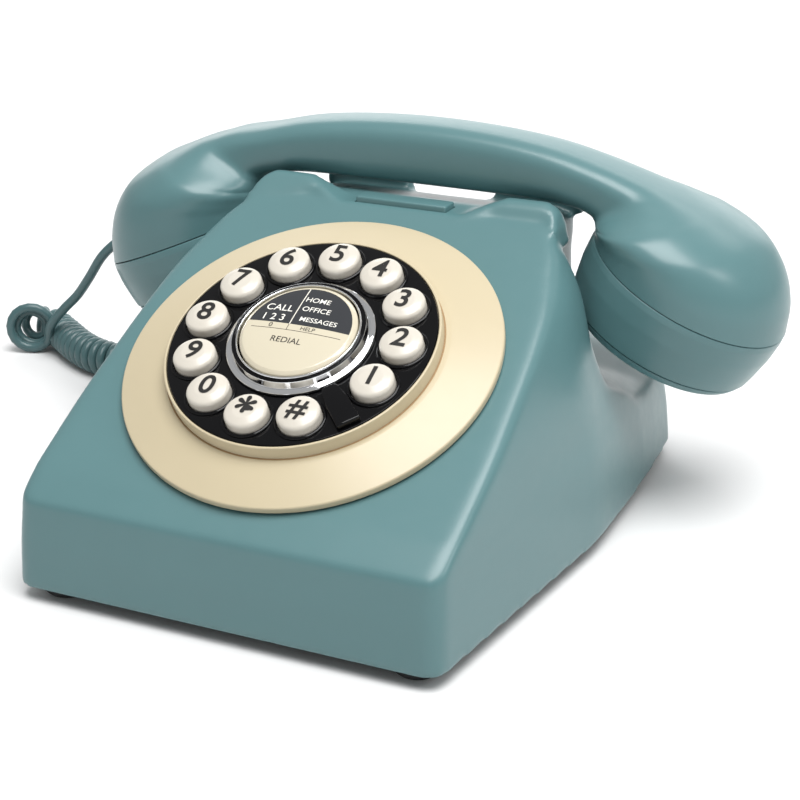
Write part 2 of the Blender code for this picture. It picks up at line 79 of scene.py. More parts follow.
# camera and studio
CAMERA_AT = (0.2386, -0.4917, 0.2564)
CAMERA_AZIMUTH = 24.73
CAMERA_ELEVATION = 21.70
CAMERA_LENS = 84.1
CAMERA_SENSOR = 36.0
SKY_STRENGTH = 0.40
LAMPS_AIM_AT = (0, 0, 0.05)
FLOOR_HALF = 3.0              # metres
SOFTBOXES = (                 # name, place, aim, size, watts; metres
    ("overhead", (0.27, -0.25, 1.25), LAMPS_AIM_AT, (0.95, 0.95), 23.0),
    ("right", (1.15, 0.03, 0.86), LAMPS_AIM_AT, (0.34, 0.34), 2.6),
    ("behind", (-0.6, 1.6, 0.5), LAMPS_AIM_AT, (2.2, 0.8), 8.5),
    ("backdrop", (-0.3, 1.5, 1.1), (-0.3, 1.8, 0), (2.0, 0.8), 15.0),
)

# case
WALL = 2.6
SLOPE_DEG = 27.7              # tilt of the dial face
SHELL_TOP_DROP = 2.9          # how far the inside of the slope lies below the outside
SHELF_SINK = 2.0              # how much lower the rear wall is read under the rear shelf
CASE_VOXEL = 1.15
CASE_SOFTEN = 7
RING_STEP = 1.5
HOLLOW_RINGS = 24

# dial
DIAL_CENTRE = (0.0, -37.8, 65.1)
DIAL_HOLE_R = 49.0
SURROUND_R = 57.5
SURROUND_SHIFT = 1.8          # how far up the slope the rim of the surround stands off centre
RING_R = 41.3
RING_TOP = 8.7
FACE_R = 40.2
FACE_THICK = 1.6
KEY_CIRCLE_R = 31.3
KEY_R = 6.4
KEY_HOLE_R = 6.8
KEY_FIRST_DEG = -24.2
KEY_STEP_DEG = 28.9
KEYS = (
    ("1", "1"), ("2", "2"), ("3", "3"), ("4", "4"), ("5", "5"), ("6", "6"),
    ("7", "7"), ("8", "8"), ("9", "9"), ("0", "0"), ("star", "*"), ("hash", "#"),
)
KEY_TOP = RING_TOP + GAP
KEY_SIGN = (9.5, 0.4)         # size of the sign on a key and how far it stands above the middle
STAR_SIGN = (13.5, -1.4)
CHROME_R = 22.3
REDIAL_R = 17.6
CARD_R = REDIAL_R - 1.2       # rim of the crowned card on the centre button
STOP_THICK = 1.8
ROUND_SEGMENTS = 160          # the dial's large rings
CENTRE_SEGMENTS = 128

# saddle, sockets
HOOK_HALF = 15.6
HOOK_Y = (26.4, 33.6)
HOOK_TOP = 96.8
PORTS = (((38.0, 8.0), (52.0, 19.0)), ((-7.0, 8.0), (7.0, 19.0)), ((-56.0, 10.0), (-42.0, 16.0)))

# handset
HANDSET_Y = 51.0
HANDSET_WALL = 2.4
CUP_R = 33.6
CAP_DEPTH = 5.0
SOUND_HOLES = 6
SOUND_HOLE_R = 1.6
SOUND_CIRCLE_R = 11
CUPS = {                      # side, x and z of the seam under the grip, outward tilt in degrees, depth
    "ear": (1, 88.6, 75.6, 26.5, 19.2),
    "mouth": (-1, 86.6, 71.2, 23.0, 17.0),
}

# curly cord
CORD_D = 3.6
COIL_R = 5.3
COIL_PITCH = 3.8
END_RING_R = 8.2              # the loosened ring at the near end
END_PITCH = 3.0
END_TURNS = 1.0
COIL_START_DEG = -45.0
FACING_SWING = (0.8, 1.6)     # turn where the ring starts to swing to the axis, and over how many turns
RING_SHRINK = (0.9, 0.8)      # turn where the ring starts to close, and over how many turns
TURN_POINTS = 18
CORD_SIDES = 12
TAIL_STEPS = 8
GLAND_R = 3.2
GLAND_AT = Vector((-112.2, 69.5, 68.5))
GLAND_DIR = Vector((-0.76, 0.57, -0.3)).normalized()
UPPER_TAIL = (
    (-119.8, 75.2, 65.5), (-128.0, 77.0, 61.0), (-136.5, 75.0, 54.5), (-145.5, 74.5, 46.5),
    (-153.3, 75.5, 36.0), (-159.8, 76.6, 28.0), (-166.4, 76.4, 21.5), (-173.0, 76.6, 14.0),
)
COIL_AXIS = (
    (-184.3, 78.7, 10.2), (-186.6, 84.0, 9.8), (-186.4, 89.2, 8.8), (-181.8, 91.0, 7.6),
    (-175.6, 87.4, 7.1), (-167.0, 81.2, 7.1), (-158.2, 75.2, 7.1), (-145.4, 69.5, 7.1), (-131.0, 69.2, 7.1),
    (-114.0, 79.0, 7.1), (-98.0, 93.5, 7.1), (-80.0, 104.5, 7.1), (-55.0, 109.0, 7.1),
    (-20.0, 109.5, 7.1), (12.0, 109.5, 7.1),
)
LOWER_TAIL = (
    (22.0, 110.5, 2.4), (30.0, 114.5, 3.4), (37.0, 119.0, 5.2),
    (43.0, 118.0, 9.0), (45.0, 111.5, 12.4), (45.0, 104.0, 13.5),
)

# colours, linear
TEAL = (0.088, 0.183, 0.192)
CREAM = (0.50, 0.43, 0.29)
IVORY = (0.56, 0.525, 0.46)
CARD = (0.56, 0.51, 0.39)
INK = (0.012, 0.011, 0.010)


# ---------------------------------------------------------------- materials

def node(mat, kind, **inputs):
    """A shader node with some of its inputs set; an underscore stands for a space."""
    made = mat.node_tree.nodes.new(kind)
    for name, value in inputs.items():
        made.inputs[name.replace("_", " ")].default_value = value
    return made


def surface(name, colour, roughness, metallic=0.0, coat=0.0, mottle=0.05, mottle_scale=45.0,
            grain=1500.0, bump=0.05, spread=0.05, specular=0.5):
    """A moulded or rolled surface: slight colour drift, uneven gloss and a fine grain."""
    mat = bpy.data.materials.new(name)
    mat.use_nodes = True
    links = mat.node_tree.links
    shader = mat.node_tree.nodes["Principled BSDF"]
    shader.inputs["Metallic"].default_value = metallic
    shader.inputs["Coat Weight"].default_value = coat
    shader.inputs["Coat Roughness"].default_value = 0.08
    shader.inputs["Specular IOR Level"].default_value = specular
    coords = node(mat, "ShaderNodeTexCoord")
    drift = node(mat, "ShaderNodeTexNoise", Scale=mottle_scale, Detail=3.0)
    links.new(coords.outputs["Object"], drift.inputs["Vector"])
    tone = node(mat, "ShaderNodeMix")
    tone.data_type = "RGBA"
    tone.inputs[6].default_value = (*[c * (1 - mottle) for c in colour], 1.0)
    tone.inputs[7].default_value = (*[min(1.0, c * (1 + mottle)) for c in colour], 1.0)
    links.new(drift.outputs["Fac"], tone.inputs["Factor"])
    links.new(tone.outputs[2], shader.inputs["Base Color"])
    gloss = node(mat, "ShaderNodeMapRange", To_Min=max(0.02, roughness - spread),
                 To_Max=roughness + spread)
    fine = node(mat, "ShaderNodeTexNoise", Scale=mottle_scale * 6, Detail=4.0)
    links.new(coords.outputs["Object"], fine.inputs["Vector"])
    links.new(fine.outputs["Fac"], gloss.inputs["Value"])
    links.new(gloss.outputs["Result"], shader.inputs["Roughness"])
    grainy = node(mat, "ShaderNodeTexNoise", Scale=grain, Detail=2.0)
    links.new(coords.outputs["Object"], grainy.inputs["Vector"])
    relief = node(mat, "ShaderNodeBump", Strength=bump, Distance=0.0002)
    links.new(grainy.outputs["Fac"], relief.inputs["Height"])
    links.new(relief.outputs["Normal"], shader.inputs["Normal"])
    return mat


def compare(mat, value, threshold, above=True):
    """A 0 or 1 mask of where a value is above (or below) a threshold."""
    step = node(mat, "ShaderNodeMath")
    step.operation = "GREATER_THAN" if above else "LESS_THAN"
    step.inputs[1].default_value = threshold
    mat.node_tree.links.new(value, step.inputs[0])
    return step.outputs[0]


def both(mat, first, second, operation="MULTIPLY"):
    """Two values joined by a math node; the product of two masks is where both hold."""
    gate = node(mat, "ShaderNodeMath")
    gate.operation = operation
    mat.node_tree.links.new(first, gate.inputs[0])
    mat.node_tree.links.new(second, gate.inputs[1])
    return gate.outputs[0]


def band(mat, value, low, high):
    return both(mat, compare(mat, value, low), compare(mat, value, high, above=False))


def card_material():
    """Printed card of the centre button: a dark upper panel, a ruled strip and a plain lower half."""
    mat = surface("card_print", CARD, 0.16, coat=0.3, mottle=0.03)
    links = mat.node_tree.links
    shader = mat.node_tree.nodes["Principled BSDF"]
    plain = shader.inputs["Base Color"].links[0].from_socket
    coords = node(mat, "ShaderNodeTexCoord")
    axes = node(mat, "ShaderNodeSeparateXYZ")
    links.new(coords.outputs["Object"], axes.inputs["Vector"])
    x, y = axes.outputs["X"], axes.outputs["Y"]
    square = both(mat, both(mat, x, x), both(mat, y, y), "ADD")
    inside = compare(mat, square, (16.1 * MM) ** 2, above=False)
    panel = both(mat, inside, compare(mat, y, 0.7 * MM))
    divider = both(mat, both(mat, inside, band(mat, x, -2.9 * MM, -2.6 * MM)), compare(mat, y, 0.7 * MM))
    ruled = compare(mat, square, (14.5 * MM) ** 2, above=False)
    rule_top = both(mat, band(mat, y, -1.75 * MM, -1.55 * MM), ruled)
    rule_side = both(mat, band(mat, x, -2.9 * MM, -2.7 * MM), band(mat, y, -1.6 * MM, 0.7 * MM))
    ink = both(mat, rule_top, rule_side, "MAXIMUM")
    colour = plain
    layers = ((panel, (0.028, 0.030, 0.034, 1)), (divider, (0.8, 0.77, 0.68, 1)), (ink, (*INK, 1)))
    for mask, shade in layers:
        over = node(mat, "ShaderNodeMix")
        over.data_type = "RGBA"
        over.inputs[7].default_value = shade
        links.new(mask, over.inputs["Factor"])
        links.new(colour, over.inputs[6])
        colour = over.outputs[2]
    links.new(colour, shader.inputs["Base Color"])
    return mat


def make_materials():
    return {
        "teal": surface("teal_plastic", TEAL, 0.31, mottle=0.03, bump=0.03),
        "cord": surface("cord_plastic", [c * 0.62 for c in TEAL], 0.34, mottle=0.06, bump=0.08),
        "cream": surface("cream_plastic", CREAM, 0.34, mottle=0.025, bump=0.03),
        "groove": surface("groove_shadow", (0.30, 0.19, 0.09), 0.6, mottle=0.1),
        "ivory": surface("ivory_key", IVORY, 0.24, mottle=0.02, bump=0.02),
        "black": surface("black_gloss", (0.003, 0.003, 0.0035), 0.09, mottle=0.2, bump=0.01, spread=0.02,
                         specular=0.22),
        "chrome": surface("chrome_plate", (0.86, 0.87, 0.88), 0.06, metallic=1.0, mottle=0.01, bump=0.01,
                          spread=0.02),
        "ink": surface("black_ink", INK, 0.35, mottle=0.1, bump=0.02),
        "white_ink": surface("white_ink", (0.80, 0.78, 0.72), 0.40, mottle=0.05, bump=0.02),
        "rubber": surface("black_rubber", (0.016, 0.016, 0.017), 0.65, mottle=0.2, grain=2200.0,
                          bump=0.25),
        "grey": surface("dark_moulding", (0.030, 0.031, 0.033), 0.45, mottle=0.12, bump=0.12),
        "steel": surface("steel_plate", (0.50, 0.50, 0.51), 0.35, metallic=1.0, mottle=0.08, bump=0.08),
        "board": surface("circuit_board", (0.03, 0.19, 0.08), 0.38, coat=0.3, mottle=0.15,
                         mottle_scale=220.0),
        "card": card_material(),
    }


# ---------------------------------------------------------------- mesh helpers

def piece(mesh, name, material, body, replaces=(), parent_matrix=None, sharp_deg=32.0):
    """An object from a mesh in millimetres, riding on a CAD body (if given) in place of its nodes."""
    mesh.transform(Matrix.Scale(MM, 4))
    mesh.shade_smooth()
    mesh.set_sharp_from_angle(angle=math.radians(sharp_deg))
    mesh.materials.clear()
    mesh.materials.append(material)
    obj = bpy.data.objects.new(name, mesh)
    bpy.context.collection.objects.link(obj)
    if parent_matrix is not None:
        obj.matrix_world = parent_matrix
        bpy.context.view_layer.update()
    if body:
        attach(obj, body)
    if replaces:
        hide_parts(*replaces)
    return obj


def mesh_from(bm, name):
    bmesh.ops.recalc_face_normals(bm, faces=bm.faces)
    mesh = bpy.data.meshes.new(name)
    bm.to_mesh(mesh)
    bm.free()
    return mesh


def circle_angles(count):
    return [2 * math.pi * i / count for i in range(count)]


def loft(rings, name, closed_loop=False):
    """Join rings of points into one closed skin; the end rings are capped unless they join up."""
    bm = bmesh.new()
    rows = [[bm.verts.new(point) for point in ring] for ring in rings]
    pairs = list(zip(rows[:-1], rows[1:]))
    if closed_loop:
        pairs.append((rows[-1], rows[0]))
    else:
        bm.faces.new(rows[0][::-1])
        bm.faces.new(rows[-1])
    count = len(rings[0])
    for low, high in pairs:
        for i in range(count):
            j = (i + 1) % count
            bm.faces.new((low[i], low[j], high[j], high[i]))
    return mesh_from(bm, name)


def rounded(corners, segments):
    """Round the inner corners of an open line of (x, y, radius) corners with arcs."""
    out = [tuple(corners[0][:2])]
    for before, here, after in zip(corners[:-2], corners[1:-1], corners[2:]):
        p, a, b = (Vector(here[:2]), Vector(before[:2]), Vector(after[:2]))
        u, v = (a - p), (b - p)
        turn = math.pi - u.angle(v)
        reach = min(here[2] * math.tan(turn / 2), 0.49 * u.length, 0.49 * v.length)
        start, end = p + u.normalized() * reach, p + v.normalized() * reach
        for i in range(segments + 1):
            t = i / segments
            point = (1 - t) ** 2 * start + 2 * t * (1 - t) * p + t ** 2 * end
            out.append((point.x, point.y))
    out.append(tuple(corners[-1][:2]))
    return out


def turned(corners, name, segments=96, arc=5):
    """Revolve (radius, height, fillet) corners about Z, from axis to axis or as a closed ring."""
    on_axis = corners[0][0] == 0.0
    if on_axis:
        points = rounded(corners, arc)[1:-1]
        heights = (corners[0][1], corners[-1][1])
    else:
        first = tuple((a + b) / 2 for a, b in zip(corners[0][:2], corners[-1][:2]))
        points = rounded([(*first, 0), *corners, (*first, 0)], arc)[:-1]
    bm = bmesh.new()
    rows = []
    for r, h in points:
        ring = [(r * math.cos(a), r * math.sin(a), h) for a in circle_angles(segments)]
        rows.append([bm.verts.new(point) for point in ring])
    pairs = list(zip(rows[:-1], rows[1:]))
    if on_axis:
        for row, height in ((rows[0], heights[0]), (rows[-1], heights[1])):
            centre = bm.verts.new((0, 0, height))
            for i in range(segments):
                bm.faces.new((row[i], row[(i + 1) % segments], centre))
    else:
        pairs.append((rows[-1], rows[0]))
    for low, high in pairs:
        for i in range(segments):
            j = (i + 1) % segments
            bm.faces.new((low[i], low[j], high[j], high[i]))
    return mesh_from(bm, name)


def rod(radius, low, high, segments, name):
    """A plain cylinder along Z, for cutting a round hole."""
    return turned([(0, low, 0), (radius, low, 0), (radius, high, 0), (0, high, 0)], name, segments, 1)


def block(low, high, name, bevel=0.6):
    bm = bmesh.new()
    bmesh.ops.create_cube(bm, size=1.0)
    for vert in bm.verts:
        vert.co = Vector([(b + a) / 2 + c * (b - a) for a, b, c in zip(low, high, vert.co)])
    if bevel:
        bmesh.ops.bevel(bm, geom=bm.edges[:], offset=bevel, segments=4, affect="EDGES", profile=0.5)
    return mesh_from(bm, name)


def joined(meshes, name):
    bm = bmesh.new()
    for mesh in meshes:
        bm.from_mesh(mesh)
    out = bpy.data.meshes.new(name)
    bm.to_mesh(out)
    bm.free()
    return out


def with_modifiers(mesh, steps):
    """Run modifiers over a mesh and return the result; a step is (kind, {settings})."""
    carrier = bpy.data.objects.new("carrier", mesh)
    bpy.context.collection.objects.link(carrier)
    helpers = []
    for kind, settings in steps:
        mod = carrier.modifiers.new(kind, kind)
        for key, value in settings.items():
            if key == "mesh":
                helper = bpy.data.objects.new("helper", value)
                bpy.context.collection.objects.link(helper)
                helpers.append(helper)
                mod.object = helper
            else:
                setattr(mod, key, value)
    graph = bpy.context.evaluated_depsgraph_get()
    result = bpy.data.meshes.new_from_object(carrier.evaluated_get(graph))
    for obj in [carrier, *helpers]:
        bpy.data.objects.remove(obj, do_unlink=True)
    return result


def cut(mesh, tool, operation="DIFFERENCE"):
    return with_modifiers(mesh, [("BOOLEAN", {"mesh": tool, "operation": operation, "solver": "EXACT"})])


def monotone(xs, ys, at):
    """Monotone cubic interpolation, so that a column of sections bends without overshoot."""
    xs, ys = np.asarray(xs, float), np.asarray(ys, float)
    width = np.diff(xs)
    rise = np.diff(ys) / width
    slope = np.zeros(len(xs))
    slope[0], slope[-1] = rise[0], rise[-1]
    for i in range(1, len(xs) - 1):
        if rise[i - 1] * rise[i] > 0:
            w1, w2 = 2 * width[i] + width[i - 1], width[i] + 2 * width[i - 1]
            slope[i] = (w1 + w2) / (w1 / rise[i - 1] + w2 / rise[i])
    k = int(np.clip(np.searchsorted(xs, at) - 1, 0, len(width) - 1))
    t = (at - xs[k]) / width[k]
    return float((2 * t ** 3 - 3 * t ** 2 + 1) * ys[k] + (t ** 3 - 2 * t ** 2 + t) * width[k] * slope[k]
                 + (3 * t ** 2 - 2 * t ** 3) * ys[k + 1] + (t ** 3 - t ** 2) * width[k] * slope[k + 1])


def catmull_rom(points, steps):
    """Points on a Catmull-Rom curve through all but the first and last control points."""
    out = []
    for p0, p1, p2, p3 in zip(points[:-3], points[1:-2], points[2:-1], points[3:]):
        for k in range(steps):
            t = k / steps
            out.append(0.5 * (2 * p1 + (p2 - p0) * t + (2 * p0 - 5 * p1 + 4 * p2 - p3) * t ** 2
                              + (3 * p1 - p0 - 3 * p2 + p3) * t ** 3))
    out.append(points[-2])
    return out


def smooth_route(points, steps):
    """A smooth curve through given points."""
    pts = [Vector(p) for p in points]
    return catmull_rom([2 * pts[0] - pts[1]] + pts + [2 * pts[-1] - pts[-2]], steps)


# ---------------------------------------------------------------- camera, light, floor

def make_camera():
    data = bpy.data.cameras.new("camera")
    data.lens = CAMERA_LENS
    data.sensor_width = CAMERA_SENSOR
    camera = bpy.data.objects.new("camera", data)
    bpy.context.collection.objects.link(camera)
    camera.location = CAMERA_AT
    camera.rotation_euler = (math.radians(90 - CAMERA_ELEVATION), 0, math.radians(CAMERA_AZIMUTH))
    bpy.context.scene.camera = camera


def softbox(name, at, target, size, watts):
    data = bpy.data.lights.new(name, "AREA")
    data.shape = "RECTANGLE"
    data.size, data.size_y = size
    data.energy = watts
    lamp = bpy.data.objects.new(name, data)
    bpy.context.collection.objects.link(lamp)
    lamp.location = at
    lamp.rotation_euler = (Vector(target) - Vector(at)).to_track_quat("-Z", "Y").to_euler()


def make_studio():
    bpy.context.scene.view_settings.view_transform = "Standard"
    world = bpy.data.worlds.new("studio")
    bpy.context.scene.world = world
    world.use_nodes = True
    sky = world.node_tree.nodes["Background"]
    sky.inputs["Color"].default_value = (1.0, 1.0, 1.0, 1.0)
    sky.inputs["Strength"].default_value = SKY_STRENGTH
    for lamp in SOFTBOXES:
        softbox(*lamp)
    floor = bpy.data.meshes.new("floor")
    corners = [(x * FLOOR_HALF, y * FLOOR_HALF, 0) for x, y in ((-1, -1), (1, -1), (1, 1), (-1, 1))]
    floor.from_pydata(corners, [], [(0, 1, 2, 3)])
    obj = bpy.data.objects.new("floor", floor)
    bpy.context.collection.objects.link(obj)
    floor.materials.append(surface("pale_floor", (0.76, 0.76, 0.76), 0.7, mottle=0.004, bump=0.0))


# ---------------------------------------------------------------- cord

def passed(value, start, span):
    """How far a value has gone from start over a span, kept between 0 and 1."""
    return min(1.0, max(0.0, (value - start) / span))


def coil_points():
    """Helix round the coil's axis: a loosened ring facing forwards, then close turns."""
    axis = smooth_route(COIL_AXIS, 30)
    reach = np.cumsum([0.0] + [(b - a).length for a, b in zip(axis[:-1], axis[1:])])
    table = np.array([tuple(p) for p in axis])
    azimuth = math.radians(CAMERA_AZIMUTH)
    away = Vector((-math.sin(azimuth), math.cos(azimuth), 0))
    up = Vector((0, 0, 1))

    def axis_at(distance):
        return Vector([np.interp(distance, reach, table[:, k]) for k in range(3)])

    def angle_at(turn):
        return math.radians(COIL_START_DEG) - 2 * math.pi * turn

    out = []
    along, turn = 0.0, 0.0
    while along < reach[-1]:
        centre = axis_at(along)
        tangent = (axis_at(min(along + 2.0, reach[-1])) - axis_at(max(along - 2.0, 0.0))).normalized()
        facing = away.lerp(tangent, passed(turn, *FACING_SWING)).normalized()
        radius = COIL_R + (END_RING_R - COIL_R) * (1.0 - passed(turn, *RING_SHRINK))
        side = facing.cross(up).normalized()
        angle = angle_at(turn)
        height = max(centre.z, radius + CORD_D / 2)
        centre = Vector((centre.x, centre.y, height))
        out.append(centre + radius * (math.cos(angle) * side + math.sin(angle) * up))
        pitch = END_PITCH if turn < END_TURNS else COIL_PITCH
        along += pitch / TURN_POINTS
        turn += 1.0 / TURN_POINTS
    # the last turn runs on in one plane to its lowest point, where the tail leaves it
    while math.sin(angle_at(turn)) > -0.98:
        turn += 1.0 / TURN_POINTS
        angle = angle_at(turn)
        out.append(centre + radius * (math.cos(angle) * side + math.sin(angle) * up))
    return out


def cord_route():
    coil = coil_points()
    upper = smooth_route([*UPPER_TAIL, coil[0], coil[3]], TAIL_STEPS)[:-TAIL_STEPS]
    lower = smooth_route([coil[-2], coil[-1], *LOWER_TAIL], TAIL_STEPS)[TAIL_STEPS + 1:]
    return upper + coil + lower


def tube_mesh(route, radius, sides, name):
    """A round tube along a route, with its sides carried along without twist."""
    tangents = [(b - a).normalized() for a, b in zip([route[0], *route[:-1]], [*route[1:], route[-1]])]
    tangents[0] = (route[1] - route[0]).normalized()
    tangents[-1] = (route[-1] - route[-2]).normalized()
    side = tangents[0].orthogonal().normalized()
    rings = []
    for point, tangent in zip(route, tangents):
        side = (side - tangent * side.dot(tangent)).normalized()
        other = tangent.cross(side)
        ring = [math.cos(a) * side + math.sin(a) * other for a in circle_angles(sides)]
        rings.append([point + radius * spoke for spoke in ring])
    return loft(rings, name)


def gland_matrix():
    return Matrix.Translation(GLAND_AT) @ GLAND_DIR.to_track_quat("Z", "Y").to_matrix().to_4x4()


def make_gland(mats):
    """The ribbed strain relief where the cord leaves the handset."""
    ribs = [(0, -4, 0), (GLAND_R, -4, 0.2)]
    for k in range(4):
        low = 0.6 + 1.9 * k
        size = GLAND_R - 0.22 * k
        ribs += [
            (size, low, 0.2), (size - 0.5, low + 0.3, 0.2), (size - 0.5, low + 0.9, 0.2),
            (size - 0.1, low + 1.2, 0.2),
        ]
    ribs += [(2.1, 9.0, 0.3), (0, 9.0, 0)]
    mesh = turned(ribs, "strain_relief", 32, 2)
    mesh.transform(gland_matrix())
    return piece(mesh, "strain_relief", mats["cord"], "handset", ("cord_gland",))


def make_plug(mats):
    """The plug in the rear socket, with its latch on top."""
    low, high = [Vector(c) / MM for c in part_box("cord_plug")]
    body = block(low, high, "plug_body", 0.8)
    middle = (low + high) / 2
    latch_low = (middle.x - 1.6, high.y - 15, high.z - 0.5)
    latch_high = (middle.x + 1.6, high.y - 5, high.z + 0.3)
    latch = block(latch_low, latch_high, "latch", 0.3)
    return piece(joined([body, latch], "line_plug"), "handset_plug", mats["grey"], "phone_base",
                 ("cord_plug",))


def make_cord(mats):
    route = cord_route()
    mesh = tube_mesh(route, CORD_D / 2, CORD_SIDES, "curly_cord")
    nodes = ("cord_upper_tail", "cord_coil", "cord_lower_tail")
    cord = piece(mesh, "curly_cord", mats["cord"], None, nodes, sharp_deg=60)
    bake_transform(cord)
    gland = make_gland(mats)
    plug = make_plug(mats)


# ---------------------------------------------------------------- case

# Sections of the case.  Each row: height, then half widths and depths of the corners
# (front x, y), (flank x, y), (shoulder x, y), (waist x, y), (rear x, y), rear middle y.
CASE_SECTIONS = (
    (4.0, 67.2, -96.0, 78.4, 4.0, 76.8, 52.0, 75.8, 66.0, 73.5, 96.0, 96.0),
    (18.0, 66.9, -95.2, 77.6, 4.0, 76.2, 50.0, 75.0, 66.0, 72.3, 95.0, 95.0),
    (31.5, 66.5, -93.6, 76.0, 4.0, 74.8, 48.0, 73.0, 66.0, 69.5, 92.5, 92.5),
    (38.0, 67.0, -84.0, 74.6, 4.0, 73.8, 40.0, 64.0, 58.0, 62.0, 88.0, 84.0),
    (47.5, 67.1, -66.0, 73.0, 2.0, 71.0, 26.6, 49.5, 40.2, 48.0, 78.0, 66.0),
    (62.0, 65.8, -38.4, 69.5, 0.0, 66.8, 22.8, 47.0, 36.2, 45.5, 75.0, 56.0),
    (76.0, 63.2, -11.7, 65.5, 6.0, 63.0, 23.3, 46.0, 35.5, 45.0, 74.0, 58.0),
    (86.0, 58.0, 7.4, 59.4, 15.0, 57.8, 23.8, 45.5, 34.8, 44.5, 73.0, 71.0),
    (91.0, 54.0, 16.9, 54.8, 20.0, 53.4, 26.0, 45.0, 35.0, 43.0, 58.0, 58.0),
    (95.0, 49.0, 24.6, 49.2, 27.0, 48.6, 29.0, 44.0, 33.0, 42.0, 38.0, 38.0),
)
CORNER_RADII = (6.5, 90.0, 9.0, 12.0, 12.0)
FRONT_CREASE_Z = 31.5
FRONT_DEPTH_COLUMN = 2
HORN_OUTLINE = (
    (17.0, 88.0, 0), (19.0, 94.2, 9), (29.5, 98.6, 9), (34.0, 100.3, 4),
    (47.5, 100.5, 5), (51.3, 98.3, 4), (53.2, 94.0, 6), (54.5, 87.5, 0), (40.0, 86.0, 0),
)
FRONT_HORN_FACE_Y = 20.0
FRONT_HORN_BACK = 34.5
FRONT_HORN_FOOT_Z = 92.0
FRONT_HORN_LEAN = 1.25        # how far the front horns lean back per unit of height
REAR_HORNS = (66.8, 72.4, 0.86)   # front y, back y and how much narrower they stand


def case_outline(row, inset, segments):
    height, fx, fy, mx, my, sx, sy, wx, wy, rx, ry, middle = row
    on_apron = height <= FRONT_CREASE_Z + 0.5
    corners = [
        (0.0, fy + (inset if on_apron else 0.0), 0.0),
        (fx - inset, fy + (inset if on_apron else 0.0), CORNER_RADII[0] if on_apron else 5.0),
        (mx - inset, my, CORNER_RADII[1]),
        (sx - inset, sy - inset * 0.5, CORNER_RADII[2]),
        (wx - inset, wy - inset * 0.5, CORNER_RADII[3]),
        (rx - inset, ry - inset, CORNER_RADII[4]),
        (0.0, middle - inset, 0.0),
    ]
    half = rounded(corners, segments)
    return half + [(-x, y) for x, y in reversed(half[1:-1])]


def section_at(height):
    """One row of the case between the table's rows; the slope itself stays flat."""
    heights = [row[0] for row in CASE_SECTIONS]
    row = [height]
    for column in range(1, len(CASE_SECTIONS[0])):
        values = [r[column] for r in CASE_SECTIONS]
        if column == FRONT_DEPTH_COLUMN:
            row.append(float(np.interp(height, heights, values)))
        else:
            row.append(monotone(heights, values, height))
    return row


def horn(side, face_y, back_y, spread=1.0):
    """One horn of the saddle, between a front face given by height and a flat back."""
    outline = [(side * spread * x, z) for x, z in rounded(HORN_OUTLINE, 6)]
    return loft([[(x, face_y(z), z) for x, z in outline], [(x, back_y, z) for x, z in outline]], "horn")


def hollow(low, high):
    """The space inside the case; under the rear shelf the wall is kept by the depth at its own height."""
    rings = [[(x, y, low - 1.0) for x, y in case_outline(section_at(low), WALL, 4)]]
    for h in np.linspace(low + 5.0, high, HOLLOW_RINGS):
        level = h - SHELL_TOP_DROP
        row = section_at(h)
        row[-1] = min(row[-1], section_at(max(low, level - SHELF_SINK))[-1])
        rings.append([(x, y, level) for x, y in case_outline(row, WALL, 4)])
    return loft(rings, "hollow")


def front_horn_face(z):
    return FRONT_HORN_FACE_Y + max(0.0, z - FRONT_HORN_FOOT_Z) * FRONT_HORN_LEAN


def softened(mesh):
    """Melt overlapping solids into one skin with rounded joins."""
    mesh.transform(Matrix.Scale(MM, 4))
    mesh = with_modifiers(mesh, [
        ("REMESH", {"mode": "VOXEL", "voxel_size": CASE_VOXEL * MM}),
        ("SMOOTH", {"factor": 0.5, "iterations": CASE_SOFTEN}),
    ])
    mesh.transform(Matrix.Scale(1 / MM, 4))
    return mesh


def make_case(mats, dial):
    low, high = CASE_SECTIONS[0][0], CASE_SECTIONS[-1][0]
    steps = int((high - low) / RING_STEP)
    heights = [low + (high - low) * i / steps for i in range(steps + 1)]
    skin = loft([[(x, y, h) for x, y in case_outline(section_at(h), 0.0, 10)] for h in heights], "skin")
    parts = [skin]
    for side in (1, -1):
        parts.append(horn(side, front_horn_face, FRONT_HORN_BACK))
        parts.append(horn(side, lambda z: REAR_HORNS[0], REAR_HORNS[1], REAR_HORNS[2]))
    solid = cut(softened(joined(parts, "case")), hollow(low, high))
    bore = rod(DIAL_HOLE_R, -30, 20, 48, "bore")
    bore.transform(dial)
    solid = cut(solid, bore)
    slot_low = (-HOOK_HALF - GAP, HOOK_Y[0] - GAP, 80)
    slot_high = (HOOK_HALF + GAP, HOOK_Y[1] + GAP, 110)
    holes = [block(slot_low, slot_high, "slot", 0)]
    holes += [block((a[0], 80, a[1]), (b[0], 120, b[1]), "port", 0) for a, b in PORTS]
    solid = cut(solid, joined(holes, "holes"))
    piece(solid, "case_skin", mats["teal"], "phone_base", ("case_shell",), sharp_deg=40)


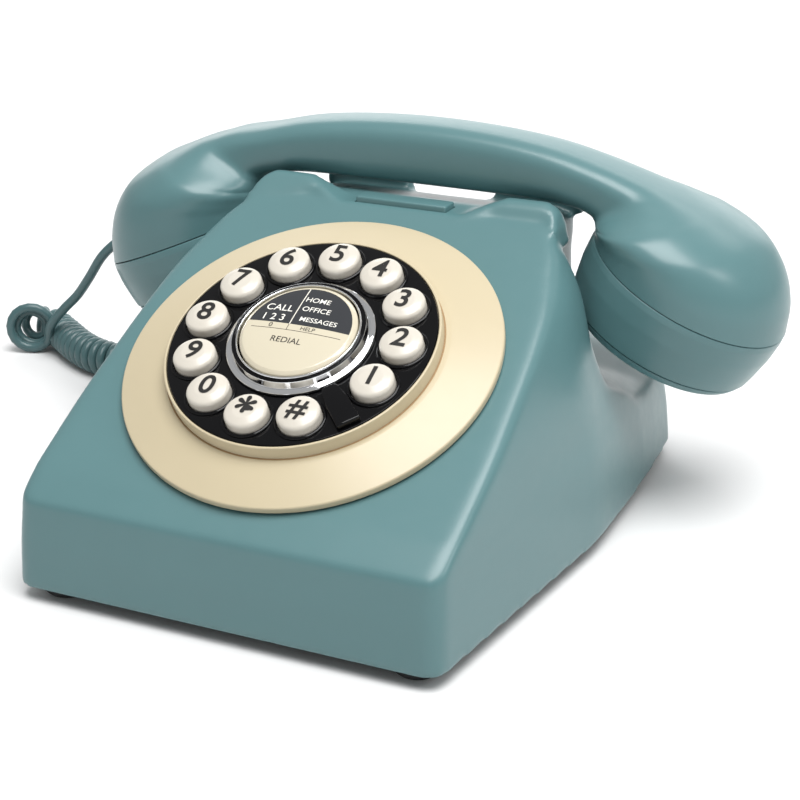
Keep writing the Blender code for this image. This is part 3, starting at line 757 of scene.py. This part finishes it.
def make_small_fittings(mats):
    bar = block((-HOOK_HALF, HOOK_Y[0], HOOK_TOP - 6), (HOOK_HALF, HOOK_Y[1], HOOK_TOP), "hook_bar", 0.7)
    piece(bar, "hook_bar", mats["teal"], "hook_body", ("hook_plunger",))
    for name in ("foot_front_left", "foot_front_right", "foot_rear_left", "foot_rear_right"):
        low, high = [Vector(c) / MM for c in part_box(name)]
        corners = [
            (0, 0.6, 0), (3.2, 0.6, 0.2), (3.6, 0, 0.2), (5.6, 0, 0.8), (6.9, 1.3, 0.5),
            (7.4, high.z - 0.3, 0.3), (7.2, high.z, 0.1), (0, high.z, 0),
        ]
        foot = turned(corners, name, 48, 3)
        foot.transform(Matrix.Translation(((low.x + high.x) / 2, (low.y + high.y) / 2, 0)))
        piece(foot, f"{name}_pad", mats["rubber"], "phone_base", (name,))


# ---------------------------------------------------------------- dial

def dome_height(radius):
    """Height of the centre button's face at a radius."""
    return KEY_TOP + 4.2 + max(0.0, 1 - (radius / CARD_R) ** 2)


def lettering(words, size, centre, height_at, name, weight=0.012, width=1.0):
    """Flat letters in the dial's plane, laid over a crowned face."""
    curve = bpy.data.curves.new(name, "FONT")
    curve.body = words
    curve.align_x, curve.align_y = "CENTER", "CENTER"
    curve.size = size
    curve.offset = weight * size
    curve.resolution_u = 6
    carrier = bpy.data.objects.new(name, curve)
    bpy.context.collection.objects.link(carrier)
    graph = bpy.context.evaluated_depsgraph_get()
    mesh = bpy.data.meshes.new_from_object(carrier.evaluated_get(graph))
    bpy.data.objects.remove(carrier, do_unlink=True)
    bpy.data.curves.remove(curve)
    for vert in mesh.vertices:
        x, y = vert.co.x * width + centre[0], vert.co.y + centre[1]
        vert.co = (x, y, height_at(math.hypot(x, y)))
    mesh.materials.clear()
    return mesh


def key_place(index):
    angle = math.radians(KEY_FIRST_DEG + index * KEY_STEP_DEG)
    return Vector((KEY_CIRCLE_R * math.cos(angle), KEY_CIRCLE_R * math.sin(angle), 0))


def metre_frame(dial):
    """The dial's frame for an object whose mesh is already in metres."""
    frame = dial.copy()
    frame.translation = dial.translation * MM
    return frame


def key_face_height(radius):
    """Height of the print on a key's crowned face at a radius."""
    return KEY_TOP + 3.99 - 0.006 * radius * radius


def make_keys(mats, frame):
    top = KEY_TOP
    corners = [
        (0, top - 5.2, 0), (7.2, top - 5.2, 0.2), (7.2, top - 3.6, 0.2), (KEY_R + 0.1, top - 3.4, 0),
        (KEY_R, top + 2.9, 1.5), (KEY_R * 0.55, top + 3.75, 3.0), (0, top + 3.9, 0),
    ]
    for i, (name, sign) in enumerate(KEYS):
        place = frame @ Matrix.Translation(key_place(i) * MM)
        body = f"key_{name}_body"
        piece(turned(corners, f"keycap_{name}", 48, 6), f"keycap_{name}", mats["ivory"], body,
              (f"key_{name}",), place, sharp_deg=50)
        size, rise = STAR_SIGN if sign == "*" else KEY_SIGN
        print_mesh = lettering(sign, size, (0, rise), key_face_height, f"digit_{name}", 0.018)
        piece(print_mesh, f"digit_{name}", mats["ink"], body, (), place)


def off_centre(mesh):
    """Shift a surround's rim up the slope, leaving its inner edge round the ring."""
    for vert in mesh.vertices:
        share = (vert.co.xy.length - RING_R - GAP) / (SURROUND_R - RING_R - GAP)
        vert.co.y += SURROUND_SHIFT * share
    return mesh


def make_surround(mats, frame):
    surround = [
        (RING_R + GAP, -2.0, 0), (SURROUND_R - 0.3, -2.0, 0.2), (SURROUND_R, -1.6, 0.2),
        (SURROUND_R, 0.2, 0.8), (RING_R + 2.0, 4.1, 4), (RING_R + GAP, 4.3, 0.2),
    ]
    mesh = off_centre(turned(surround, "cream_surround", ROUND_SEGMENTS, 6))
    piece(mesh, "cream_surround", mats["cream"], "phone_base",
          ("dial_surround",), frame, sharp_deg=50)
    groove = [
        (RING_R - 0.2, 3.2, 0), (RING_R + 0.5, 3.2, 0), (RING_R + 0.5, 4.36, 0.1), (RING_R - 0.2, 4.36, 0.1),
    ]
    mesh = turned(groove, "ring_groove", ROUND_SEGMENTS, 2)
    piece(mesh, "ring_groove", mats["groove"], "phone_base", (), frame)
    ring = [
        (FACE_R - 1.2, -1.5, 0), (RING_R, -1.5, 0.1), (RING_R, RING_TOP, 0.5), (FACE_R + GAP, RING_TOP, 0.3),
        (FACE_R + GAP, RING_TOP - FACE_THICK - GAP, 0), (FACE_R - 1.2, RING_TOP - FACE_THICK - GAP, 0),
    ]
    piece(turned(ring, "cream_ring", ROUND_SEGMENTS, 4), "cream_ring", mats["cream"], "phone_base",
          ("dial_ring",), frame, sharp_deg=50)


def make_face(mats, frame):
    """The black plate with a hole for each key, and a thin collar round each hole."""
    low = RING_TOP - FACE_THICK
    plate = turned([(REDIAL_R + GAP, low, 0), (FACE_R, low, 0), (FACE_R, RING_TOP, 0.3),
                    (REDIAL_R + GAP, RING_TOP, 0)], "black_face", ROUND_SEGMENTS, 3)
    drills = []
    lips = []
    for i in range(len(KEYS)):
        place = Matrix.Translation(key_place(i))
        drill = rod(KEY_HOLE_R, 0, 20, 40, "drill")
        drill.transform(place)
        drills.append(drill)
        lip = turned([(KEY_HOLE_R, low + 0.4, 0), (KEY_HOLE_R + 0.9, low + 0.4, 0),
                      (KEY_HOLE_R + 0.9, RING_TOP + 0.45, 0.4), (KEY_HOLE_R, RING_TOP + 0.75, 0.4)],
                     "lip", 40, 4)
        lip.transform(place)
        lips.append(lip)
    plate = cut(plate, joined(drills, "drills"))
    piece(plate, "black_face", mats["black"], "phone_base", ("dial_face",), frame)
    piece(joined(lips, "key_lips"), "key_lips", mats["black"], "phone_base", (), frame, sharp_deg=50)


def make_stop(mats, frame):
    """The fixed finger stop, a glossy blade in the gap between the last key and the first."""
    blade = [
        (39.2, -3.6, 0), (30.0, -3.4, 6.0), (23.2, -2.4, 2.2), (23.2, 2.4, 2.2), (30.0, 3.4, 6.0),
        (39.2, 3.6, 0),
    ]
    outline = rounded(blade, 6)
    stop = loft([[(x, y, h) for x, y in outline] for h in (KEY_TOP, KEY_TOP + STOP_THICK)], "stop_blade")
    stop = with_modifiers(stop, [("BEVEL", {"width": 0.5, "segments": 4, "limit_method": "ANGLE",
                                            "angle_limit": math.radians(50)})])
    turn = Matrix.Rotation(math.radians(KEY_FIRST_DEG - (360 - 11 * KEY_STEP_DEG) / 2), 4, "Z")
    piece(stop, "stop_blade", mats["black"], "phone_base", ("finger_stop",), frame @ turn)


def make_dial(mats, frame):
    make_surround(mats, frame)
    make_face(mats, frame)
    make_stop(mats, frame)
    make_chrome(mats, frame)
    make_card(mats, frame)


def make_chrome(mats, frame):
    """The bright rings round the centre button, and the black trough between them."""
    top = KEY_TOP
    chrome = [
        (REDIAL_R + 2.2, top, 0), (CHROME_R, top, 0.2), (CHROME_R, top + 0.9, 0.5),
        (CHROME_R - 1.3, top + 1.4, 0.5), (CHROME_R - 1.7, top + 1.2, 0.3),
        (REDIAL_R + 2.3, top + 3.4, 0.8), (REDIAL_R + 2.2, top + 2.6, 0.3),
    ]
    lip = [
        (REDIAL_R + 0.5, top, 0), (REDIAL_R + 1.1, top, 0), (REDIAL_R + 1.1, top + 3.5, 0.3),
        (REDIAL_R + 0.8, top + 3.9, 0.3), (REDIAL_R + 0.5, top + 3.6, 0.3),
    ]
    rings = [turned(chrome, "chrome", CENTRE_SEGMENTS, 5), turned(lip, "lip", CENTRE_SEGMENTS, 4)]
    piece(joined(rings, "chrome_rings"), "chrome_rings", mats["chrome"], "phone_base",
          ("chrome_ring",), frame, sharp_deg=50)
    trough = [
        (REDIAL_R + 1.1, top, 0), (REDIAL_R + 2.3, top, 0), (REDIAL_R + 2.3, top + 2.4, 0.1),
        (REDIAL_R + 1.1, top + 2.4, 0.1),
    ]
    mesh = turned(trough, "ring_trough", CENTRE_SEGMENTS, 2)
    piece(mesh, "ring_trough", mats["black"], "phone_base", (), frame)


def word_height(radius):
    return dome_height(radius) + 0.03


def make_card(mats, frame):
    """The centre button with its printed card; the words are generic."""
    top = KEY_TOP
    crown = [(CARD_R * k / 6, dome_height(CARD_R * k / 6), 2.0) for k in range(5, 0, -1)]
    button = [
        (0, top - 4.0, 0), (REDIAL_R - 0.2, top - 4.0, 0), (REDIAL_R, top + 3.4, 0.8),
        (CARD_R, top + 4.2, 0.6), *crown, (0, dome_height(0), 0),
    ]
    piece(turned(button, "centre_card", CENTRE_SEGMENTS, 4), "centre_card", mats["card"], "redial_body",
          ("redial_button",), frame, sharp_deg=50)
    pale = (
        ("CALL", 3.6, (-8.6, 6.6)), ("1 2 3", 3.6, (-9.0, 2.7)), ("HOME", 2.7, (1.9, 11.2)),
        ("OFFICE", 2.7, (3.0, 7.3)), ("MESSAGES", 2.5, (5.4, 3.1)),
    )
    dark = (("0", 2.4, (-8.4, -0.5)), ("HELP", 2.0, (3.6, -0.5)), ("REDIAL", 2.9, (-1.2, -5.6)))
    prints = (("card_words_pale", pale, "white_ink", "cream"), ("card_words_dark", dark, "ink", "black"))
    for name, lines, ink, slot in prints:
        meshes = [lettering(words, size, at, word_height, "word", 0.004, 1.05) for words, size, at in lines]
        piece(joined(meshes, name), name, mats[ink], "redial_body", (), frame)


# ---------------------------------------------------------------- handset

# The grip, from its middle outwards.  Each row: a point on the top line (x, z), the point on the
# underside line (x, z) that faces it, and the half depth between front and back.
GRIP_HANDLE = (
    (0.0, 117.8, 0.0, 97.3, 11.6),
    (22.0, 117.0, 22.0, 97.3, 11.7),
    (42.0, 114.7, 41.0, 97.1, 12.2),
    (58.0, 111.0, 52.0, 96.2, 12.8),
)
# The ends swing round their lower corner, out to the seam with each cup.
GRIP_ENDS = {
    "ear": (
        (70.0, 107.4, 56.8, 94.8, 13.6),
        (77.5, 104.9, 58.4, 93.6, 15.0),
        (83.0, 103.0, 59.0, 92.9, 19.0),
        (91.0, 99.7, 59.1, 92.4, 26.0),
        (98.5, 96.3, 59.0, 92.0, 30.2),
        (110.0, 89.0, 58.9, 91.5, 32.6),
        (116.8, 79.8, 58.7, 91.1, 33.3),
        (119.4, 70.0, 58.5, 90.9, 33.6),
        (118.7, 60.6, 58.5, 90.6, CUP_R),
    ),
    "mouth": (
        (70.0, 108.5, 56.8, 94.6, 13.6),
        (77.5, 106.0, 58.0, 92.8, 15.0),
        (83.0, 104.2, 58.4, 91.4, 19.0),
        (91.0, 100.8, 58.2, 89.8, 26.0),
        (98.0, 97.4, 57.8, 88.3, 30.2),
        (108.9, 89.3, 57.3, 86.7, 32.6),
        (115.3, 79.4, 56.7, 85.5, 33.3),
        (117.8, 68.6, 56.1, 84.8, 33.6),
        (117.5, 58.1, 55.7, 84.3, CUP_R),
    ),
}


def grip_ring(station, inset, count):
    """One section of the grip: squarish at the handle, round at the cups."""
    top_x, top_z, low_x, low_z, half = station
    middle = Vector(((top_x + low_x) / 2, HANDSET_Y, (top_z + low_z) / 2))
    up = Vector((top_x - low_x, 0, top_z - low_z)) / 2
    up *= 1 - inset / up.length
    across = Vector((0, half - inset, 0))
    power = 0.62 if half < 15 else min(1.0, 0.62 + (half - 15) * 0.03)
    ring = []
    for a in circle_angles(count):
        c, s = math.cos(a), math.sin(a)
        c = math.copysign(abs(c) ** power, c)
        s = math.copysign(abs(s) ** power, s)
        ring.append(middle + up * c + across * s)
    return ring


def finer(stations, steps):
    """A smooth column of stations, which start at the grip's middle of symmetry."""
    rows = [np.array(row) for row in stations]
    mirror = rows[1] * np.array([-1, 1, -1, 1, 1])
    return catmull_rom([mirror] + rows + [2 * rows[-1] - rows[-2]], steps)


def grip_loft(name, count=72):
    """The hollow grip with both its ends, open at the seams with the cups."""
    skins = []
    for inset, steps in ((0.0, 7), (HANDSET_WALL, 2)):
        right = [grip_ring(row, inset, count) for row in finer(GRIP_HANDLE + GRIP_ENDS["ear"], steps)]
        left = [grip_ring(row, inset, count) for row in finer(GRIP_HANDLE + GRIP_ENDS["mouth"], steps)[1:]]
        left = [[Vector((-p.x, p.y, p.z)) for p in ring] for ring in reversed(left)]
        skins.append(left + right)
    return loft(skins[0] + skins[1][::-1], name, closed_loop=True)


def cup_matrix(end):
    side, x, z, tilt_deg, _ = CUPS[end]
    place = Matrix.Translation(Vector((side * x, HANDSET_Y, z)) * MM)
    return place @ Matrix.Rotation(math.radians(side * tilt_deg), 4, "Y")


def lid_block(half_x, half_y, name):
    """A block through the underside of the handle, which parts the cover from the grip."""
    return block((-half_x, HANDSET_Y - half_y, 90), (half_x, HANDSET_Y + half_y, 103), name, 0)


def make_grip(mats):
    shell = cut(grip_loft("grip"), lid_block(46, 7.5, "slot"))
    bore = rod(GLAND_R + GAP, -12, 12, 24, "bore")
    bore.transform(gland_matrix())
    shell = cut(shell, bore)
    piece(shell, "grip_skin", mats["teal"], "handset", ("handset_shell",), sharp_deg=45)
    cover = cut(grip_loft("cover"), lid_block(45.7, 7.2, "lid"), "INTERSECT")
    piece(cover, "grip_cover", mats["teal"], "handset", ("handset_cover",), sharp_deg=45)


def make_cup(mats, end, frame, depth):
    cup = [
        (28.4, -depth, 0), (31.6, -depth, 0.5), (32.4, -depth * 0.8, 8), (33.5, -depth * 0.45, 16),
        (CUP_R + 0.2, -2.5, 6), (CUP_R, -GAP, 0.5), (CUP_R - HANDSET_WALL, -GAP, 0), (30.8, -depth * 0.5, 0),
    ]
    piece(turned(cup, f"{end}_cup_skin", 128, 5), f"{end}_cup_skin", mats["teal"], "handset",
          (f"{end}_cup",), frame, sharp_deg=50)


def make_cap(mats, end, frame, depth):
    """The screw cap over a cup, with its ring of sound holes."""
    low = -depth - CAP_DEPTH
    cap = [
        (0, low + 1.2, 0), (17, low + 0.9, 3), (20, low, 2), (25.5, low + 0.3, 4), (29.8, low + 2.2, 3),
        (31.4, -depth - GAP, 0.5), (0, -depth - GAP, 0),
    ]
    drills = []
    for angle in circle_angles(SOUND_HOLES):
        drill = rod(SOUND_HOLE_R, low - 5, 0, 16, "drill")
        place = (SOUND_CIRCLE_R * math.cos(angle), SOUND_CIRCLE_R * math.sin(angle), 0)
        drill.transform(Matrix.Translation(place))
        drills.append(drill)
    disc = cut(turned(cap, f"{end}_cap_skin", 128, 5), joined(drills, "drills"))
    piece(disc, f"{end}_cap_skin", mats["teal"], "handset", (f"{end}_cap",), frame, sharp_deg=50)


def make_handset(mats):
    make_grip(mats)
    for end in CUPS:
        frame = cup_matrix(end)
        depth = CUPS[end][-1]
        make_cup(mats, end, frame, depth)
        make_cap(mats, end, frame, depth)


# ---------------------------------------------------------------- carried-over solids

CARRIED = {
    "steel": ("ballast_weight", "handset_weight", "hook_rod"),
    "board": ("main_board", "keypad_board"),
    "rubber": ("keypad_membrane",),
    "grey": (
        "base_plate", "dial_tray", "hook_switch", "ringer_speaker", "handset_port", "line_port",
        "receiver_capsule", "microphone_capsule", "ringer_switch",
    ),
}


def dress_carried_nodes(mats, nodes):
    """Give the solids that are shown as they are a material each."""
    for material, names in CARRIED.items():
        for name in names:
            mesh = nodes[name].data
            mesh.materials.clear()
            mesh.materials.append(mats[material])


def main():
    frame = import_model()
    make_camera()
    mats = make_materials()
    make_cord(mats)
    make_studio()
    dial_mm = Matrix.Translation(DIAL_CENTRE) @ Matrix.Rotation(math.radians(SLOPE_DEG), 4, "X")
    dial = metre_frame(dial_mm)
    make_case(mats, dial_mm)
    make_small_fittings(mats)
    make_dial(mats, dial)
    make_keys(mats, dial)
    make_handset(mats)
    dress_carried_nodes(mats, frame["nodes"])


main()
